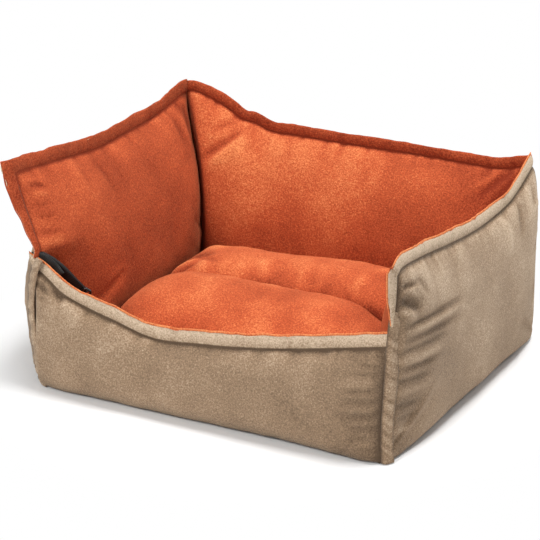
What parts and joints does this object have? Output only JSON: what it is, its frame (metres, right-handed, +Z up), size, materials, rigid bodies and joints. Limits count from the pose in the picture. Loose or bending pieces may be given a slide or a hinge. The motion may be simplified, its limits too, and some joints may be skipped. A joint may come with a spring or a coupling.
{
  "type": "pet bed",
  "caption": "Low-front walled pet bed with padded velour walls, upright seam flanges, a loose channelled cushion and a webbing tether with a snap hook.",
  "frame": {"origin": "middle of the bed's underside, half way between the wall seams, on the floor", "axes": "+X to the right along the entrance, +Y to the back wall, +Z up"},
  "size_m": [0.645, 0.5443, 0.35],
  "materials": {
    "outer_velour": "matt short-pile velour, taupe",
    "inner_velour": "matt short-pile velour, burnt orange",
    "fibre_filling": "loose polyester fibre",
    "foam": "flat polyether foam",
    "underside_cloth": "woven cloth with small grip dots",
    "webbing": "black woven polyester webbing",
    "hook_metal": "black gloss coated zinc",
    "steel": "plain wire"
  },
  "bodies": {
    "bed": {"underside_panel": "underside_cloth", "base_pad": "foam", "base_lining": "inner_velour", "front_wall_cover": "outer_velour", "right_wall_cover": "outer_velour", "back_wall_cover": "outer_velour", "left_wall_cover": "outer_velour", "front_wall_lining": "inner_velour", "right_wall_lining": "inner_velour", "back_wall_lining": "inner_velour", "left_wall_lining": "inner_velour", "front_wall_filling": "fibre_filling", "right_wall_filling": "fibre_filling", "back_wall_filling": "fibre_filling", "left_wall_filling": "fibre_filling", "tether_tab": "webbing"},
    "cushion": {"cushion_top_cover": "inner_velour", "cushion_bottom_cover": "outer_velour", "cushion_front_filling": "fibre_filling", "cushion_back_filling": "fibre_filling"},
    "tether": {"tether_webbing": "webbing", "swivel_eye": "hook_metal"},
    "hook": {"snap_hook": "hook_metal", "gate_pin": "steel", "gate_spring": "steel"},
    "gate": {"hook_gate": "hook_metal"}
  },
  "joints": [
    {"name": "cushion_lift", "type": "slide", "parent": "bed", "child": "cushion", "axis": [0, 0, 1], "range_m": [0, 0.35]},
    {"name": "tether_swing", "type": "hinge", "parent": "bed", "child": "tether", "pos_m": [-0.28164, -0.24572, 0.19566], "axis": [0.682, 0, 0.7314], "range_deg": [0, 20]},
    {"name": "hook_swivel", "type": "hinge", "parent": "tether", "child": "hook", "pos_m": [-0.21814, -0.21207, 0.13645], "axis": [0.6573, 0.4384, -0.613], "continuous": true},
    {"name": "gate_hinge", "type": "hinge", "parent": "hook", "child": "gate", "pos_m": [-0.20108, -0.20438, 0.13161], "axis": [-0.3206, 0.8988, 0.299], "range_deg": [0, 24], "stiffness_Nm_per_rad": 0.02, "springref_deg": -20.05}
  ]
}
